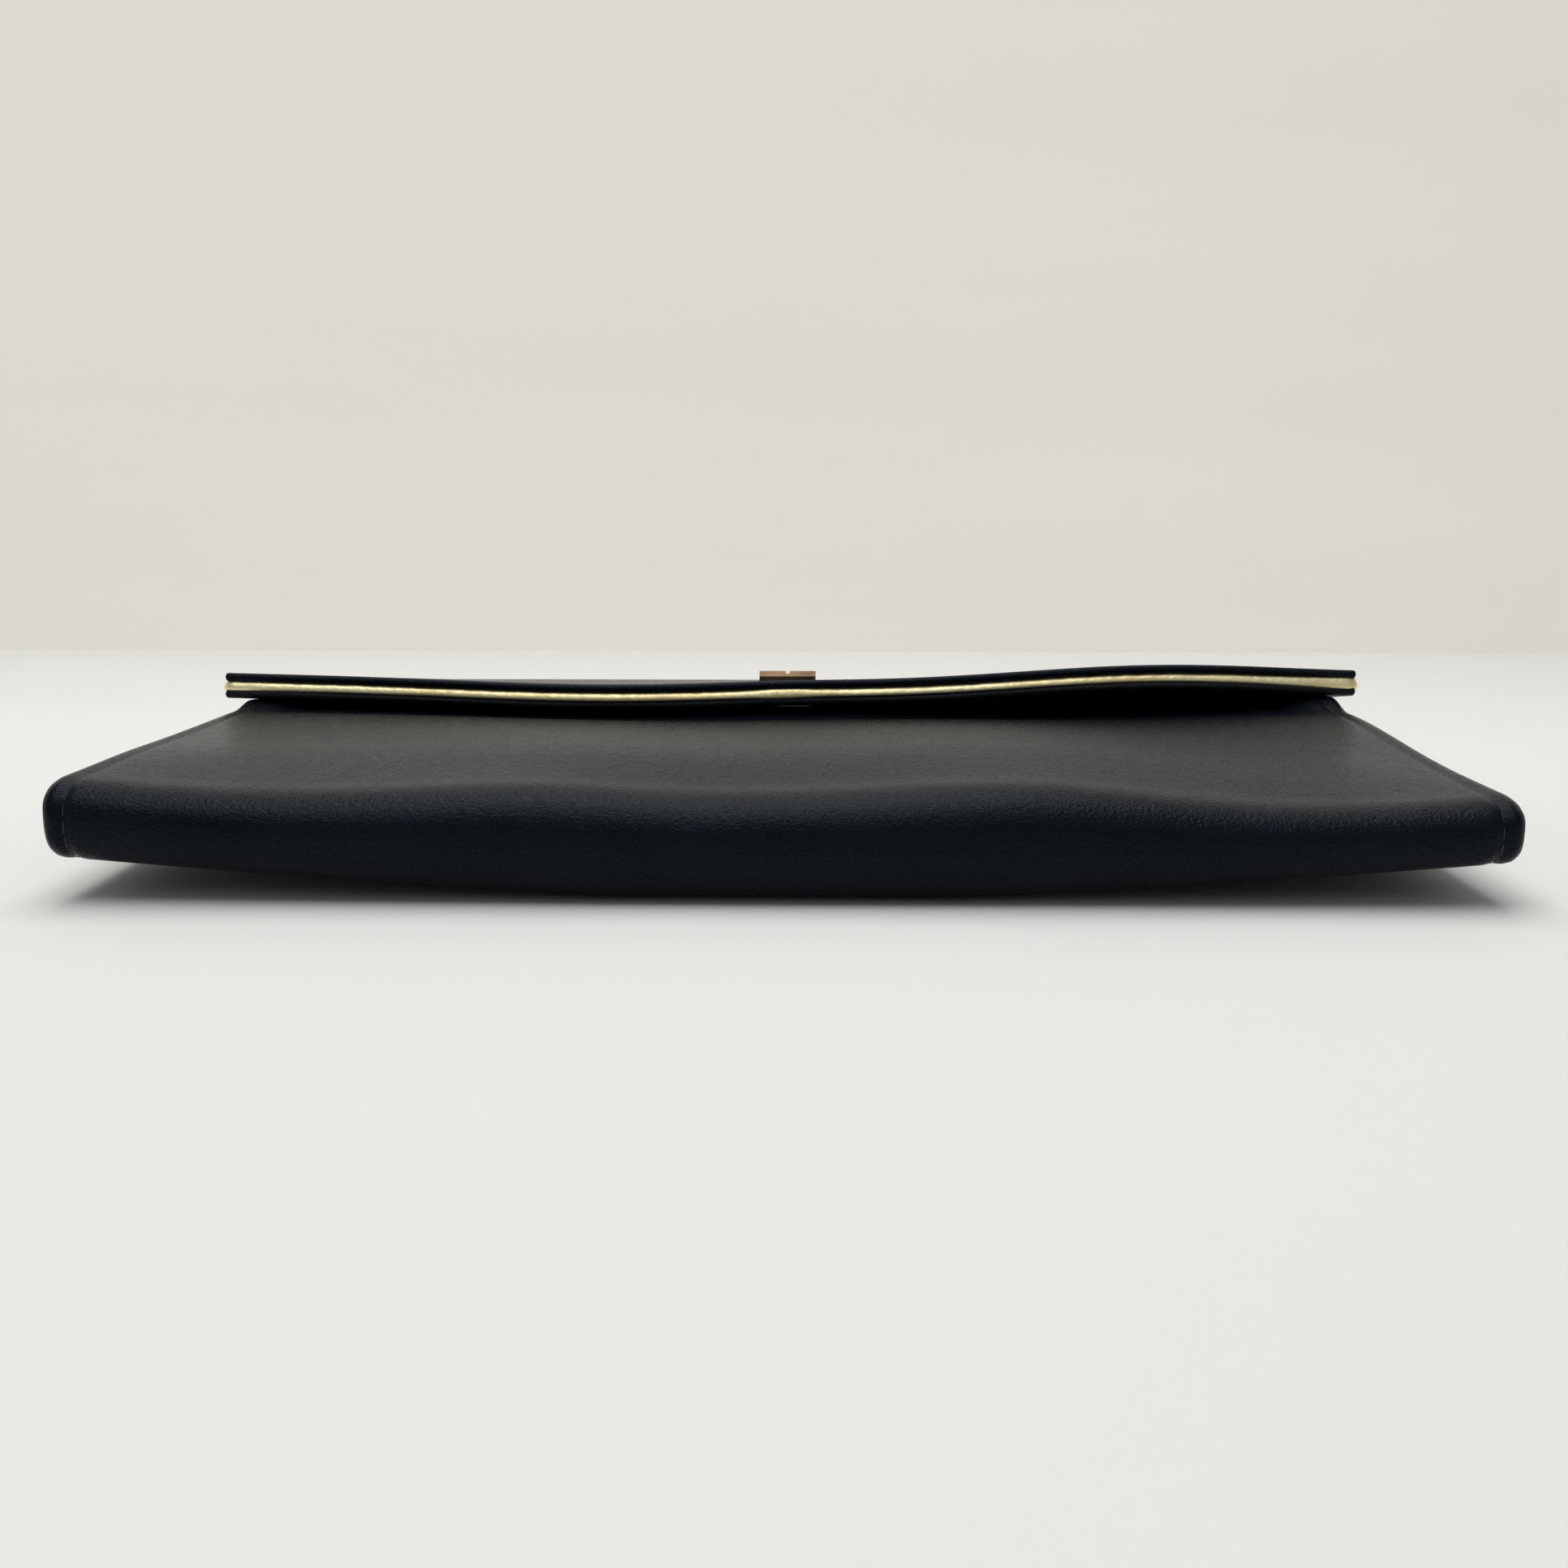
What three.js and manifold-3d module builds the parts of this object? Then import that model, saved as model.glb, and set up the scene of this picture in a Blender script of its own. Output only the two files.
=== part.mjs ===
// A flap clutch purse lying on its back: satin panels over board, lined, with side gussets,
// a fold-over flap edged in gold, a bar ornament and a snap. Millimetres.
// X runs across the purse, -Y is the bottom fold, +Y the top fold, +Z the front; z = 0 is the table.
import * as THREE from 'three';
import { mergeVertices } from 'three/addons/utils/BufferGeometryUtils.js';
import Module from 'manifold-3d';

const wasm = await Module();
wasm.setup();

// Whole purse
const BODY_W = 250;
const FLAP_W = 259;
const HEIGHT = 155;
const GAP = 0.3;
const SEAM = 0.15;               // half the gap between two panels that meet edge to edge

// Layers, as depths below the outer face
const COVER = 1.2;
const BOARD = 1.5;
const LINING = 0.8;
const BOARD_NEAR = COVER + GAP;
const BOARD_FAR = BOARD_NEAR + BOARD;
const LINING_NEAR = BOARD_FAR + GAP;
const LINING_FAR = LINING_NEAR + LINING;

// Back face: flat in the middle, lifting off the table towards the sides, most at the bottom fold
const BACK_FLAT_X = 30;
const BACK_LIFT = 7.5;
const BACK_LIFT_POWER = 1.1;
const BACK_LIFT_LOST = 0.7;      // share of the lift that is gone at the top fold

// Front face: a little dished across, crowned at the bottom fold, dropping to its top edge under the flap
const FRONT_Z = 19;
const FRONT_SIDE_RISE = 2.4;
const FRONT_CROWN = 2.2;
const FRONT_DROP = 4;
const FRONT_DROP_Y = 25;
const FRONT_TOP_Y = 62;
const FRONT_BEND_Y = 34;
const LAYER_INSET = 2;           // how far boards and linings stop short of a panel's ends

// Bottom fold and top fold
const BOTTOM_DEEP = 6;           // how far in the bottom fold's own panel reaches
const BOTTOM_CORNER_R = 5.5;
const TOP_R = 5;
const ARC_STEPS = 5;
const HALF_TURN_STEPS = 3;

// Flap
const FLAP_EDGE_Y = 21.5;
const FLAP_REAR_Z = 21;
const FLAP_RISE = 5.5;
const FLAP_SIDE_RISE = 1.5;
const FACING_NEAR = 3.4;
const FACING_FAR = 4.6;
const FLAP_FLAT_REAR_Y = 68;      // where the flap's inner layers end, short of the corner
const FLAP_BOARD_START_Y = 26.3;
const FLAP_BOARD_W = 249;
const FLAP_BOARD = 1.2;
const PIPING_PROUD = 1;          // how far the gold edge stands out past the satin on three sides
const PIPING_IN = 4.3;           // how far in it reaches
const PIPING_T = 1.6;

// Boards, lining and gussets
const BOARD_W = 242;
const LINING_W = 216;
const GUSSET_X = [110, 124];     // inner fold, outer edge
const GUSSET_T = 0.8;
const GUSSET_Y = [-66, 60];
const POCKET_W = 150;
const POCKET_Y = [-45, 35];

// Snap and ornament
const SNAP_Y = 40;
const SNAP_R = 7;
const SNAP_BARREL_R = 3.4;
const SNAP_HOLE_R = 3.8;
const SNAP_FLANGE = 0.7;
const SNAP_WELL = [3.2, 1.2];    // mouth radius, depth
const STUD_NUB = [2.2, 1.4, 0.9]; // root radius, tip radius, length
const STUD_NECK_R = 1.6;
const STUD_HOLE_R = 2;
const WASHER_T = 0.8;
const STUD_WASHER_R = 5;
const CLASP_Y = 29;
const CLASP_L = 13;
const CLASP_W = 6.4;
const CLASP_H = 2.4;
const CLASP_POST_X = 4;
const CLASP_POST_R = 0.9;
const CLASP_HOLE_R = 1.2;
const CLASP_PLATE = [12, 4.4, 0.7];
const CLASP_BEVEL = 1.2;
const CLASP_GROOVE = [1, 0.6];   // width, depth
const WINDOW_MARGIN = 1;

const BOTTOM_Y = -HEIGHT / 2;
const TOP_Y = HEIGHT / 2;
const FOLD_Y = BOTTOM_Y + BOTTOM_DEEP;
const REAR_Y = TOP_Y - TOP_R;
const FLAP_SLOPE = FLAP_RISE / (REAR_Y - FLAP_EDGE_Y);
const FLAP_TILT = -Math.atan(FLAP_SLOPE);

const SATIN = { color: 0x14171c, roughness: 0.42, metalness: 0 };
const TWILL = { color: 0x1c1c20, roughness: 0.75, metalness: 0 };
const CARD = { color: 0x8a8378, roughness: 0.9, metalness: 0 };
const GOLD_LEATHER = { color: 0xbfae7c, roughness: 0.35, metalness: 0.8 };
const GOLD_METAL = { color: 0xd8c184, roughness: 0.25, metalness: 1 };
const NICKEL = { color: 0xb4b4b0, roughness: 0.3, metalness: 1 };

const clamp01 = (value) => Math.min(1, Math.max(0, value));

function backZ(x, y) {
  const side = clamp01((Math.abs(x) - BACK_FLAT_X) / (BODY_W / 2 - BACK_FLAT_X));
  const along = clamp01((y - BOTTOM_Y) / (TOP_Y - BOTTOM_Y));
  return BACK_LIFT * side ** BACK_LIFT_POWER * (1 - BACK_LIFT_LOST * along);
}

function frontZ(x, y) {
  const side = x / (BODY_W / 2);
  const drop = clamp01((y - FRONT_DROP_Y) / (FRONT_TOP_Y - FRONT_DROP_Y));
  const crown = FRONT_CROWN * clamp01((FRONT_DROP_Y - y) / (FRONT_DROP_Y - BOTTOM_Y)) * (1 - side * side);
  return FRONT_Z + FRONT_SIDE_RISE * side * side + crown - FRONT_DROP * drop;
}

function flapZ(x, y) {
  const side = x / (FLAP_W / 2);
  const rise = clamp01((REAR_Y - y) / (REAR_Y - FLAP_EDGE_Y));
  return FLAP_REAR_Z + (FLAP_RISE + FLAP_SIDE_RISE * side * side) * rise;
}

// A station is a point of the outer face in the Y-Z section, with the inward direction there.
const facingUp = (y, z) => ({ y, z, ny: 0, nz: -1 });
const facingDown = (y, z) => ({ y, z, ny: 0, nz: 1 });

function arc(centreY, centreZ, radius, fromDeg, toDeg, steps) {
  const stations = [];
  for (let i = 0; i <= steps; i += 1) {
    const angle = THREE.MathUtils.degToRad(fromDeg + (toDeg - fromDeg) * i / steps);
    stations.push({
      y: centreY + radius * Math.cos(angle),
      z: centreZ + radius * Math.sin(angle),
      ny: -Math.cos(angle),
      nz: -Math.sin(angle),
    });
  }
  return stations;
}

function spread(from, to, count) {
  return Array.from({ length: count + 1 }, (_, i) => from + (to - from) * i / count);
}

// The satin runs in one loop: flap edge, flap, top fold, back, bottom fold, front.
const SEAM_DEG = THREE.MathUtils.radToDeg(SEAM / TOP_R);

function flapRun(x) {
  const corner = arc(REAR_Y, FLAP_REAR_Z - TOP_R, TOP_R, 90, 45 + SEAM_DEG, HALF_TURN_STEPS);
  return [...spread(FLAP_EDGE_Y, FLAP_FLAT_REAR_Y, 4).map((y) => facingUp(y, flapZ(x, y))), ...corner];
}

function topFoldRun(x) {
  const low = backZ(x, REAR_Y) + TOP_R;
  return [
    ...arc(REAR_Y, FLAP_REAR_Z - TOP_R, TOP_R, 45 - SEAM_DEG, 0, HALF_TURN_STEPS),
    ...arc(REAR_Y, low, TOP_R, 0, -45 + SEAM_DEG, HALF_TURN_STEPS),
  ];
}

function backRun(x) {
  const corner = arc(REAR_Y, backZ(x, REAR_Y) + TOP_R, TOP_R, -45 - SEAM_DEG, -90, HALF_TURN_STEPS);
  const ys = spread(REAR_Y - TOP_R, FOLD_Y + SEAM, 4);
  return [...corner, ...ys.map((y) => facingDown(y, backZ(x, y)))];
}

function bottomFoldRun(x) {
  const low = backZ(x, FOLD_Y);
  const high = frontZ(x, FOLD_Y);
  const centreY = BOTTOM_Y + BOTTOM_CORNER_R;
  return [
    facingDown(FOLD_Y - SEAM, low),
    ...arc(centreY, low + BOTTOM_CORNER_R, BOTTOM_CORNER_R, -90, -180, ARC_STEPS),
    ...arc(centreY, high - BOTTOM_CORNER_R, BOTTOM_CORNER_R, 180, 90, ARC_STEPS),
    facingUp(FOLD_Y - SEAM, high),
  ];
}

function frontRun(x) {
  const ys = [...spread(FOLD_Y + SEAM, FRONT_DROP_Y, 3), ...spread(FRONT_BEND_Y, FRONT_TOP_Y, 3)];
  return ys.map((y) => facingUp(y, frontZ(x, y)));
}

function volumeOf(geometry) {
  const point = geometry.attributes.position;
  const index = geometry.index.array;
  const corner = [new THREE.Vector3(), new THREE.Vector3(), new THREE.Vector3()];
  let total = 0;
  for (let i = 0; i < index.length; i += 3) {
    corner.forEach((c, k) => c.fromBufferAttribute(point, index[i + k]));
    total += corner[0].dot(corner[1].clone().cross(corner[2])) / 6;
  }
  return total;
}

function closed(geometry) {
  geometry.deleteAttribute('normal');
  geometry.deleteAttribute('uv');
  const merged = mergeVertices(geometry, 1e-4);
  if (volumeOf(merged) < 0) {
    const index = merged.index.array;
    for (let i = 0; i < index.length; i += 3) {
      [index[i], index[i + 1]] = [index[i + 1], index[i]];
    }
  }
  merged.computeVertexNormals();
  return merged;
}

// A grid sheet: place(u, v, t) gives the point at u across, v along and t through the thickness.
function sheet(across, along, place) {
  const geometry = new THREE.BoxGeometry(1, 1, 1, across, along, 1);
  const point = geometry.attributes.position;
  for (let i = 0; i < point.count; i += 1) {
    const at = place(point.getX(i) + 0.5, point.getY(i) + 0.5, point.getZ(i) + 0.5);
    point.setXYZ(i, at[0], at[1], at[2]);
  }
  return closed(geometry);
}

// A layer of the wrap: the stations of `run`, between two depths below the outer face.
function layer(run, width, across, near, far) {
  const count = run(0).length - 1;
  return sheet(across, count, (u, v, t) => {
    const x = (u - 0.5) * width;
    const station = run(x)[Math.round(v * count)];
    const depth = far + (near - far) * t;
    return [x, station.y + station.ny * depth, station.z + station.nz * depth];
  });
}

function toSolid(geometry) {
  const bare = closed(geometry.clone());
  return new wasm.Manifold(new wasm.Mesh({
    numProp: 3,
    vertProperties: new Float32Array(bare.attributes.position.array),
    triVerts: new Uint32Array(bare.index.array),
  }));
}

function fromSolid(solid) {
  const mesh = solid.getMesh();
  const geometry = new THREE.BufferGeometry();
  geometry.setAttribute('position', new THREE.BufferAttribute(mesh.vertProperties, 3));
  geometry.setIndex(new THREE.BufferAttribute(mesh.triVerts, 1));
  geometry.computeVertexNormals();
  return geometry;
}

function cut(geometry, tools) {
  return fromSolid(tools.reduce((solid, tool) => solid.subtract(toSolid(tool)), toSolid(geometry)));
}

function join(geometries) {
  return fromSolid(geometries.map(toSolid).reduce((whole, next) => whole.add(next)));
}

// Moves a geometry built around its own Z axis to (x, y, z), leaning with the flap.
function lean(geometry, x, y, z) {
  return geometry.rotateX(FLAP_TILT).translate(x, y, z);
}

function postTool(radius, x, y, z, length) {
  return lean(new THREE.CylinderGeometry(radius, radius, length, 16).rotateX(Math.PI / 2), x, y, z);
}

function lathe(profile, segments = 24) {
  const points = profile.map(([radius, height]) => new THREE.Vector2(radius, height));
  return new THREE.LatheGeometry(points, segments).rotateX(Math.PI / 2);
}

function washer(innerR, outerR, low, high) {
  return lathe([[innerR, low], [outerR, low], [outerR, high], [innerR, high], [innerR, low]]);
}

const group = new THREE.Group();
group.name = 'clutch_purse';

function add(name, geometry, look) {
  const mesh = new THREE.Mesh(closed(geometry), new THREE.MeshStandardMaterial(look));
  mesh.name = name;
  group.add(mesh);
}

function addBackAndBottom() {
  const straight = spread(REAR_Y - LAYER_INSET, FOLD_Y + LAYER_INSET, 4);
  const inner = (x) => straight.map((y) => facingDown(y, backZ(x, y)));
  const pocket = (x) => spread(POCKET_Y[1], POCKET_Y[0], 3).map((y) => facingDown(y, backZ(x, y)));
  add('back_cover', layer(backRun, BODY_W, 12, 0, COVER), SATIN);
  add('back_board', layer(inner, BOARD_W, 12, BOARD_NEAR, BOARD_FAR), CARD);
  add('back_lining', layer(inner, LINING_W, 12, LINING_NEAR, LINING_FAR), TWILL);
  add('slip_pocket', layer(pocket, POCKET_W, 8, LINING_FAR + GAP, LINING_FAR + GAP + LINING), TWILL);
  add('bottom_fold_cover', layer(bottomFoldRun, BODY_W, 12, 0, COVER), SATIN);
  add('bottom_board', layer(bottomFoldRun, BOARD_W, 12, BOARD_NEAR, BOARD_FAR), CARD);
  add('bottom_lining', layer(bottomFoldRun, LINING_W, 12, LINING_NEAR, LINING_FAR), TWILL);
}

// A gusset is a strip folded inwards: lower leg, fold, upper leg.
function gusset(side) {
  const levels = (x, y) => [backZ(x, y) + LINING_NEAR, frontZ(x, y) - LINING_NEAR];
  return sheet(4, 6, (u, v, t) => {
    const y = GUSSET_Y[0] + (GUSSET_Y[1] - GUSSET_Y[0]) * v;
    const [low, high] = levels(GUSSET_X[1], y);
    const middle = (low + high) / 2;
    const leg = Math.abs(2 * u - 1);
    const x = GUSSET_X[0] + (GUSSET_X[1] - GUSSET_X[0]) * leg;
    const edge = u < 0.5 ? low : high;
    const inward = u < 0.5 ? GUSSET_T * t : -GUSSET_T * t;
    const foldX = leg === 0 ? GUSSET_T * 2 * t : 0;
    return [side * (x + foldX), y, middle + (edge - middle) * leg + (leg === 0 ? 0 : inward)];
  });
}

function addGussets() {
  add('gusset_left', gusset(-1), TWILL);
  add('gusset_right', gusset(1), TWILL);
}

function addFront() {
  const snapZ = frontZ(0, SNAP_Y);
  const straight = [
    ...spread(FOLD_Y + LAYER_INSET, FRONT_DROP_Y, 3),
    ...spread(FRONT_BEND_Y, FRONT_TOP_Y - LAYER_INSET, 3),
  ];
  const inner = (x) => straight.map((y) => facingUp(y, frontZ(x, y)));
  const cover = layer(frontRun, BODY_W, 12, 0, COVER);
  const board = layer(inner, BOARD_W, 12, BOARD_NEAR, BOARD_FAR);
  add('front_cover', cut(cover, [postTool(SNAP_HOLE_R, 0, SNAP_Y, snapZ, 8)]), SATIN);
  add('front_board', cut(board, [postTool(SNAP_R + GAP * 2, 0, SNAP_Y, snapZ, 12)]), CARD);
  add('front_lining', layer(inner, LINING_W, 12, LINING_NEAR, LINING_FAR), TWILL);
}

function addSnapSocket() {
  const snapZ = frontZ(0, SNAP_Y);
  const barrelEnd = -(BOARD_NEAR + WASHER_T + GAP);
  const top = GAP + SNAP_FLANGE;
  const [wellR, wellDepth] = SNAP_WELL;
  const socket = lathe([
    [0, barrelEnd], [SNAP_BARREL_R, barrelEnd], [SNAP_BARREL_R, GAP], [SNAP_R, GAP],
    [SNAP_R, top], [wellR, top], [wellR, top - wellDepth], [0, top - wellDepth],
  ]);
  const ring = washer(SNAP_HOLE_R, SNAP_R, -BOARD_NEAR - WASHER_T, -BOARD_NEAR);
  add('snap_socket', lean(socket, 0, SNAP_Y, snapZ), NICKEL);
  add('snap_socket_washer', lean(ring, 0, SNAP_Y, snapZ), NICKEL);
}

function addSnapStud() {
  const flapTop = flapZ(0, SNAP_Y);
  const neckTop = -(BOARD_NEAR + GAP);
  const discTop = -(FACING_FAR + GAP);
  const discLow = discTop - WASHER_T;
  const [rootR, tipR, nubLength] = STUD_NUB;
  const stud = lathe([
    [0, discLow - nubLength], [tipR, discLow - nubLength], [rootR, discLow], [SNAP_R, discLow],
    [SNAP_R, discTop], [STUD_NECK_R, discTop], [STUD_NECK_R, neckTop], [0, neckTop],
  ]);
  const seat = GAP - FACING_NEAR;
  const ring = washer(STUD_HOLE_R, STUD_WASHER_R, seat, seat + WASHER_T);
  add('snap_stud', lean(stud, 0, SNAP_Y, flapTop), NICKEL);
  add('snap_stud_washer', lean(ring, 0, SNAP_Y, flapTop), NICKEL);
}

function addTopFold() {
  add('top_fold_cover', layer(topFoldRun, BODY_W, 12, 0, COVER), SATIN);
  add('top_fold_lining', layer(topFoldRun, LINING_W, 12, BOARD_NEAR, BOARD_NEAR + LINING), TWILL);
}

const flapLayerRun = (from, to, steps) => (x) => spread(from, to, steps).map((y) => facingUp(y, flapZ(x, y)));

// The gold edge is one strip along the front of the flap and both its sides.
function goldPiping() {
  const width = FLAP_W + 2 * PIPING_PROUD;
  const run = flapLayerRun(FLAP_EDGE_Y - PIPING_PROUD, FLAP_FLAT_REAR_Y, 4);
  const whole = layer(run, width, 14, BOARD_NEAR, BOARD_NEAR + PIPING_T);
  const innerW = FLAP_W - 2 * PIPING_IN;
  const innerY = [FLAP_EDGE_Y + PIPING_IN, HEIGHT];
  const inner = new THREE.BoxGeometry(innerW, innerY[1] - innerY[0], HEIGHT);
  return cut(whole, [inner.translate(0, (innerY[0] + innerY[1]) / 2, 0)]);
}

function addFlap() {
  const clasp = flapZ(0, CLASP_Y);
  const posts = [-CLASP_POST_X, CLASP_POST_X].map((x) => postTool(CLASP_HOLE_R, x, CLASP_Y, clasp, 8));
  const snapTop = flapZ(0, SNAP_Y);
  const [plateL, plateW] = CLASP_PLATE;
  const opening = new THREE.BoxGeometry(plateL + WINDOW_MARGIN, plateW + 2 * WINDOW_MARGIN, 12);
  const window = lean(opening, 0, CLASP_Y, clasp);
  const pocket = postTool(STUD_WASHER_R + GAP * 2, 0, SNAP_Y, snapTop, 12);
  const boardRun = flapLayerRun(FLAP_BOARD_START_Y, FLAP_FLAT_REAR_Y, 4);
  const facingRun = flapLayerRun(FLAP_EDGE_Y, FLAP_FLAT_REAR_Y, 4);
  const cover = layer(flapRun, FLAP_W, 14, 0, COVER);
  const board = layer(boardRun, FLAP_BOARD_W, 14, BOARD_NEAR, BOARD_NEAR + FLAP_BOARD);
  const facing = layer(facingRun, FLAP_W - 1, 14, FACING_NEAR, FACING_FAR);
  add('flap_cover', cut(cover, posts), SATIN);
  add('flap_board', cut(board, [window, pocket]), CARD);
  add('gold_piping', goldPiping(), GOLD_LEATHER);
  add('flap_facing', cut(facing, [postTool(STUD_HOLE_R, 0, SNAP_Y, snapTop, 16)]), SATIN);
}

function addClasp() {
  const seat = flapZ(0, CLASP_Y);
  const half = CLASP_W / 2;
  const top = GAP + CLASP_H;
  const outline = new THREE.Shape([
    [-half, GAP], [half, GAP], [half, top - CLASP_BEVEL], [half - CLASP_BEVEL, top],
    [-half + CLASP_BEVEL, top], [-half, top - CLASP_BEVEL],
  ].map(([y, z]) => new THREE.Vector2(y, z)));
  const bar = new THREE.ExtrudeGeometry(outline, { depth: CLASP_L, bevelEnabled: false });
  bar.translate(0, 0, -CLASP_L / 2).rotateX(Math.PI / 2).rotateZ(Math.PI / 2);
  const [grooveW, grooveDepth] = CLASP_GROOVE;
  const groove = new THREE.BoxGeometry(grooveW, CLASP_W + 2, 2 * grooveDepth).translate(0, 0, top);
  const postLength = BOARD_NEAR + FLAP_BOARD + GAP * 2;
  const posts = [-CLASP_POST_X, CLASP_POST_X].map((x) => {
    const post = new THREE.CylinderGeometry(CLASP_POST_R, CLASP_POST_R, postLength, 16);
    return post.rotateX(Math.PI / 2).translate(x, 0, GAP * 2 - postLength / 2);
  });
  const holes = [-CLASP_POST_X, CLASP_POST_X].map((x) => (
    new THREE.CylinderGeometry(CLASP_HOLE_R, CLASP_HOLE_R, 6, 16).rotateX(Math.PI / 2).translate(x, 0, 0)
  ));
  const backplate = cut(new THREE.BoxGeometry(...CLASP_PLATE), holes);
  const plateZ = -BOARD_NEAR - CLASP_PLATE[2] / 2 - SEAM;
  add('clasp_bar', lean(cut(join([bar, ...posts]), [groove]), 0, CLASP_Y, seat), GOLD_METAL);
  add('clasp_backplate', lean(backplate.translate(0, 0, plateZ), 0, CLASP_Y, seat), NICKEL);
}

addBackAndBottom();
addGussets();
addFront();
addSnapSocket();
addTopFold();
addFlap();
addClasp();
addSnapStud();

export default group;
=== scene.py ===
# A black satin flap clutch lying on its back. Shapes are worked out in millimetres in the frame's axes and
# written to Blender in metres.
import math
import random

import bpy
import numpy as np
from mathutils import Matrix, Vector


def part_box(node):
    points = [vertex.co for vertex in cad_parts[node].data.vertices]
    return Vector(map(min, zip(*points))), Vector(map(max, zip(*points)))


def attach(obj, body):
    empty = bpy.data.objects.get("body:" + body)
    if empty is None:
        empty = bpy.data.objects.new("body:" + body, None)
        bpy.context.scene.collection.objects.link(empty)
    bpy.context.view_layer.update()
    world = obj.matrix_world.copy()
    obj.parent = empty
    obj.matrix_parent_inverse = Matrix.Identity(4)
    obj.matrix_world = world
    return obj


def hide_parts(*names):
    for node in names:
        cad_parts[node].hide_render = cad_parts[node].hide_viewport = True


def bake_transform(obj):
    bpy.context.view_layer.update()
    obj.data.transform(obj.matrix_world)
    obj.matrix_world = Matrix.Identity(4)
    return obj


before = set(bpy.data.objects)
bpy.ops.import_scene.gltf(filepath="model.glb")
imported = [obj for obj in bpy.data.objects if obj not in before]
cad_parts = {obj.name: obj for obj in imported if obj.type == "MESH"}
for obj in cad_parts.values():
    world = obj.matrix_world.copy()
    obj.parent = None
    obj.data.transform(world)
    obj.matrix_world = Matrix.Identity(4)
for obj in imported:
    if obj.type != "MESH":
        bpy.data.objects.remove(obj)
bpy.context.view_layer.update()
MM = 0.001


def node_box(node):
    low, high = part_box(node)
    return np.array(low) / MM, np.array(high) / MM


# Places taken from the frame
FLAP_LOW, FLAP_HIGH = node_box("flap_cover")
POCKET_LOW, POCKET_HIGH = node_box("slip_pocket")
HALF_W, FRONT_TOP_Y = node_box("front_cover")[1][:2]
BOTTOM_Y = node_box("bottom_fold_cover")[0][1]
TOP_Y = -BOTTOM_Y
FLAP_HALF_W = FLAP_HIGH[0]
FLAP_EDGE_Y = FLAP_LOW[1]
GOLD_REAR_Y = node_box("gold_piping")[1][1]
LINING_HALF_W = node_box("back_lining")[1][0]

# Layers, as depths below the outer face
COVER = 1.2
BOARD_NEAR, BOARD_T = 1.45, 1.5
FLAP_BOARD_NEAR, FLAP_BOARD_T = 1.6, 1.2
TURN_DEPTH = 4.3                 # outer face of the turned-in allowance
LINING_NEAR, LINING_T = 3.4, 0.7
POCKET_NEAR, POCKET_T = 4.4, 0.8
TOP_R = 5.0
FOLD_DEPTH, FOLD_FULL = 9.0, 4.5  # depth of the bottom fold's rounding at its ends, and how much more midway
FOLD_POWER = 2.6                 # squareness of that rounding; 2 would be an ellipse
UNDER_LAP = 0.5                  # how far the back's cloth runs under the fold's

# Faces of the body
BACK_FLAT_X, BACK_LIFT, BACK_LIFT_LOST = 30.0, 7.5, 0.7
FRONT_Z, FRONT_SIDE_RISE, FRONT_CROWN = 19.0, 2.4, 2.6
FRONT_DROP, FRONT_DROP_Y = 4.0, 25.0
PANEL_TWIST, PANEL_RIPPLE = 2.4, 0.25
SHOULDER_ROLL, SHOULDER_FULL = 2.8, 1.1
HOLLOW = 0.9                     # dip in front of the flap's free edge
SNAP_RIDGE = 1.35                # cloth pushed up before the snap
FLAP_REAR_Z, FLAP_RISE, FLAP_SIDE_RISE = 21.0, 5.5, 1.5
FLAP_PUFF = 0.65                 # how much higher the satin stands at the free edge than the board beneath
FLAP_CLEAR = 0.1                 # air between the flap and the front panel's raised sides
REAR_Y = TOP_Y - TOP_R

# Swellings across the width, each one (height, centre, spread)
FOLD_SWELLS = ((1.3, -46, 15), (2.6, 40, 19), (-0.4, -16, 11), (-0.9, -86, 20), (-1.1, 84, 18))
FOLD_LIFT = 1.1
FLAP_WAVES = ((-1.2, -45, 28), (3.1, 84, 31), (0.24, 0, 12))
GOLD_SWELLS = ((0.36, -1, 4.5), (-0.1, -1, 0.8), (-0.1, 45, 45))

# Flap, edges and stitching
ALLOWANCE = 17.5                 # cloth turned in under each side edge
BODY_FULL = 0.6                  # how far the turned edges swell past the panel's width
FLAP_SKIN = 1.4
EDGE_FULL = 0.55                 # extra thickness where the flap's cloth is turned in
EDGE_TURN, EDGE_BAND = 3.0, 9.0  # width of the full part, and of its fading out
FACING_NEAR = 3.2
TAPER_FROM_Y = 40.0              # the flap's sides draw in from here to the top fold
GOLD_MIDDLE = 2.3                # depth of the gold strip's middle below the flap's board face
GOLD_HALF_T = 1.05
GOLD_PROUD = 1.3
GOLD_SKIN = 0.45
ROLL_DEPTH, ROLL_T, ROLL_REACH = 4.5, 0.7, 12.0   # satin turned over the front panel's top edge
GUSSET_Y = (-66.0, 60.5)
GUSSET_IN, GUSSET_REACH = 2.2, 15.0   # from the body's side to the gusset's edges, and to its fold
GUSSET_T, GUSSET_GAP = 0.6, 0.3
STITCH_X = HALF_W - 3.4
STITCH_LENGTH, STITCH_SPACING, STITCH_R = 2.1, 2.9, 0.17
GROOVE, GROOVE_WIDE = 0.3, 0.7   # how far the topstitch pulls the cloth in, and over what width

# Camera and room
CAMERA_FOCAL = 1935 / 1932       # focal length over the frame's width
CAMERA_X, CAMERA_BACK, CAMERA_Z = 5.5, 258.5, 71.0
CAMERA_DOWN, CAMERA_TURN = 10.77, 1.0
WALL_Y, WALL_HIGH = 0.345, 0.42


def clamp01(value):
    return np.clip(value, 0.0, 1.0)


def ease(value):
    value = clamp01(value)
    return value * value * (3 - 2 * value)


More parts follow.
